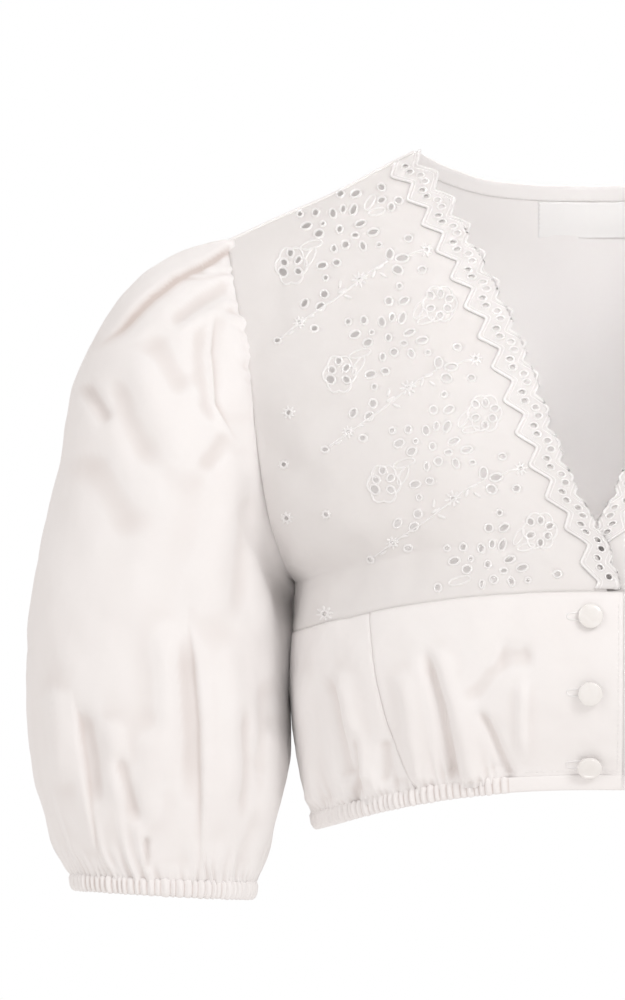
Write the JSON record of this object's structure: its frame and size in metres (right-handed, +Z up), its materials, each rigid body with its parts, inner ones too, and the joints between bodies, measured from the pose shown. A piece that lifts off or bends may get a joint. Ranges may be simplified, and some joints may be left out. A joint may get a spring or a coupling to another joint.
{
  "type": "dirndl blouse",
  "caption": "Cropped V-neck blouse with an eyelet yoke, scalloped edging, buttoned band and elastic balloon sleeves.",
  "frame": {"origin": "midway between the two points where the shoulder seams meet the neck, where the blouse hangs on its wearer's shoulders", "axes": "+Z up, +X towards the wearer's left, +Y towards the wearer's back, so the front faces -Y"},
  "size_m": [0.5784, 0.2436, 0.3838],
  "materials": {
    "eyelet_cotton": "fine plain cotton with raised white embroidery and open eyelets",
    "plain_cotton": "fine plain cotton, soft matt",
    "eyelet_edging": "white cotton edging with satin-stitched scallops",
    "label_satin": "white woven satin, blank",
    "button_pearl": "pearly, domed"
  },
  "bodies": {
    "root": {"right_yoke": "eyelet_cotton", "right_neck_edging": "eyelet_edging", "right_band_centre": "plain_cotton", "right_band_side": "plain_cotton", "right_hem_casing": "plain_cotton", "right_sleeve": "plain_cotton", "right_cuff_casing": "plain_cotton", "left_yoke": "eyelet_cotton", "left_neck_edging": "eyelet_edging", "left_band_centre": "plain_cotton", "left_band_side": "plain_cotton", "left_hem_casing": "plain_cotton", "left_sleeve": "plain_cotton", "left_cuff_casing": "plain_cotton", "back": "plain_cotton", "back_hem_casing": "plain_cotton", "back_neck_binding": "plain_cotton", "neck_label": "label_satin", "button_1": "button_pearl", "button_2": "button_pearl", "button_3": "button_pearl"}
  },
  "joints": []
}
